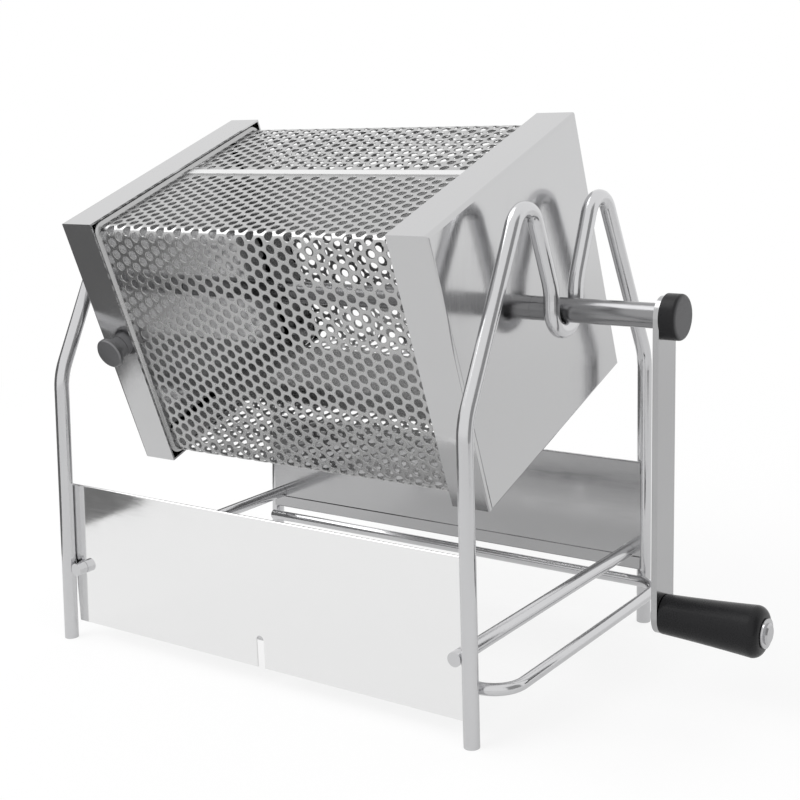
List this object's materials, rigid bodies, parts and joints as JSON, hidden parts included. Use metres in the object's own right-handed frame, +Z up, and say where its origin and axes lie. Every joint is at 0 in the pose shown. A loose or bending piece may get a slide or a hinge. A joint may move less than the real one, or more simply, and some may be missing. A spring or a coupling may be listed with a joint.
{
  "type": "stovetop coffee bean roaster",
  "caption": "Square perforated drum turned by a hand crank over a burner, in a bent-wire stand with sheet shields.",
  "frame": {"origin": "on the surface the feet stand on, in the middle of the whole object's length and width", "axes": "+X along the axle towards the crank, -Y towards the front shield, +Z up"},
  "size_m": [0.3172, 0.1596, 0.2366],
  "materials": {
    "polished_wire": "polished stainless wire",
    "mirror_sheet": "mirror-bright stainless sheet",
    "satin_sheet": "bright stainless sheet",
    "perforated_sheet": "perforated stainless sheet",
    "turned_steel": "turned stainless bar",
    "black_plastic": "satin black heat-proof plastic",
    "dark_knob": "dark heat-proof plastic"
  },
  "bodies": {
    "stand": {"left_side_frame": "polished_wire", "right_side_frame": "polished_wire", "left_cross_rod": "polished_wire", "right_cross_rod": "polished_wire", "base_wire": "polished_wire", "front_heat_shield": "mirror_sheet", "back_heat_shield": "mirror_sheet"},
    "drum": {"right_end_cap": "satin_sheet", "top_mesh": "perforated_sheet", "front_mesh": "perforated_sheet", "bottom_mesh": "perforated_sheet", "back_mesh": "perforated_sheet", "seam_strip": "satin_sheet", "top_fin": "satin_sheet", "bottom_fin": "satin_sheet", "axle": "turned_steel", "crank_arm": "satin_sheet", "crank_knob": "black_plastic", "grip_spindle": "turned_steel", "grip_washer": "turned_steel"},
    "turning_grip": {"grip": "black_plastic"},
    "removable_cap": {"left_end_cap": "satin_sheet", "latch_nut": "turned_steel"},
    "thumbscrew": {"latch_knob": "dark_knob"}
  },
  "joints": [
    {"name": "drum_turn", "type": "hinge", "parent": "stand", "child": "drum", "pos_m": [-0.0406, 0, 0.159], "axis": [1, 0, 0], "continuous": true},
    {"name": "grip_turn", "type": "hinge", "parent": "drum", "child": "turning_grip", "pos_m": [0.1354, 0, 0.0375], "axis": [1, 0, 0], "continuous": true},
    {"name": "cap_slide", "type": "slide", "parent": "drum", "child": "removable_cap", "axis": [-1, 0, 0], "range_m": [0, 0.005]},
    {"name": "thumbscrew_turn", "type": "hinge", "parent": "removable_cap", "child": "thumbscrew", "pos_m": [-0.1278, -0.05715, 0.13854], "axis": [0, -0.9415, -0.3371], "range_deg": [-360, 0]}
  ]
}
